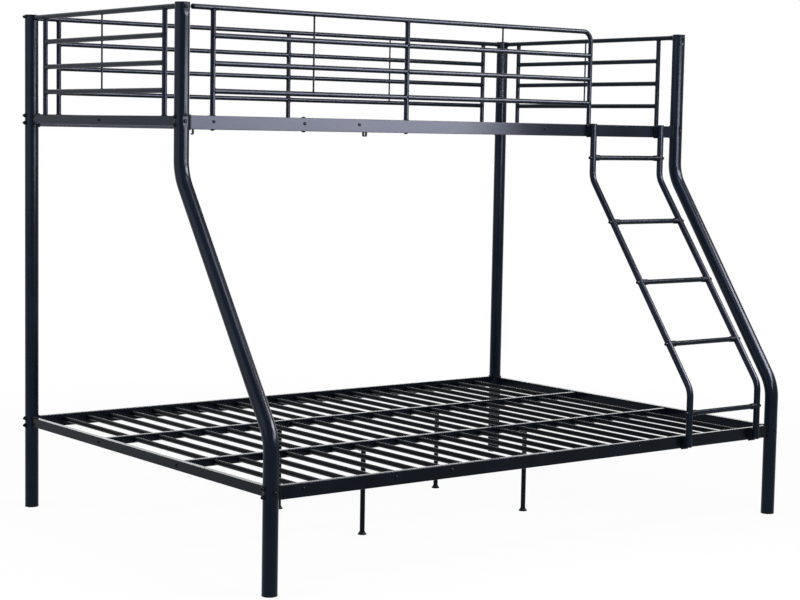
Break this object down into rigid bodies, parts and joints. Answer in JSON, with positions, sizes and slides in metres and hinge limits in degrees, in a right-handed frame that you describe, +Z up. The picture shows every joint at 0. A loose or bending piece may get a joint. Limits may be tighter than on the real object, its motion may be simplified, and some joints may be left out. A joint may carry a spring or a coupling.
{
  "type": "bunk bed",
  "caption": "Metal bunk bed: narrow upper deck over a wide lower deck, tube guards, slatted decks, bent front posts and a bent ladder at the front right.",
  "frame": {"origin": "on the floor, under the middle of the bounding box", "axes": "+X along the bed towards the ladder end, +Y towards the rear (wall) side, +Z up"},
  "size_m": [2.114, 1.5204, 1.646],
  "materials": {
    "post_coat": "satin black powder coat",
    "rail_coat": "satin black powder coat",
    "slat_coat": "satin black powder coat",
    "guard_coat": "satin black powder coat",
    "black_plastic": "matt black",
    "dark_screw": "black finish",
    "bright_steel": "plain steel"
  },
  "bodies": {
    "root": {"rear_left_post": "post_coat", "rear_right_post": "post_coat", "front_left_post": "post_coat", "front_right_post": "post_coat", "post_caps": "black_plastic", "post_feet": "black_plastic", "upper_front_rail": "rail_coat", "upper_rear_rail": "rail_coat", "upper_left_rail": "rail_coat", "upper_right_rail": "rail_coat", "lower_front_rail": "rail_coat", "lower_rear_rail": "rail_coat", "lower_left_rail": "rail_coat", "lower_right_rail": "rail_coat", "upper_bar": "rail_coat", "lower_bars_pair": "rail_coat", "upper_rear_slats": "slat_coat", "upper_front_slats": "slat_coat", "lower_rear_slats": "slat_coat", "lower_middle_slats": "slat_coat", "lower_front_slats": "slat_coat", "brace_inserts": "bright_steel", "middle_legs": "rail_coat", "leg_feet": "black_plastic", "leg_screws": "bright_steel", "front_guard_frame": "guard_coat", "guard_plug": "black_plastic", "front_guard_uprights": "guard_coat", "front_guard_bars": "guard_coat", "front_guard_rods": "guard_coat", "rear_guard_top": "guard_coat", "rear_guard_uprights": "guard_coat", "rear_guard_bars": "guard_coat", "rear_guard_rods": "guard_coat", "left_guard_top": "guard_coat", "left_guard_uprights": "guard_coat", "left_guard_bars": "guard_coat", "left_guard_rod": "guard_coat", "right_guard_top": "guard_coat", "right_guard_uprights": "guard_coat", "right_guard_bars": "guard_coat", "right_guard_rod": "guard_coat", "ladder_left_stile": "guard_coat", "ladder_right_stile": "guard_coat", "stile_plugs": "black_plastic", "ladder_rungs": "guard_coat", "rung_collars": "black_plastic", "rung_bolts": "dark_screw", "ladder_brackets": "dark_screw", "ladder_bolts": "dark_screw", "rail_saddles": "black_plastic", "end_saddles": "black_plastic", "guard_saddles": "black_plastic", "post_bolts": "dark_screw", "guard_bolts": "dark_screw", "post_washers": "black_plastic", "rail_bolts": "dark_screw", "rail_nuts": "dark_screw", "rail_hooks": "dark_screw", "hole_domes": "black_plastic"}
  },
  "joints": []
}
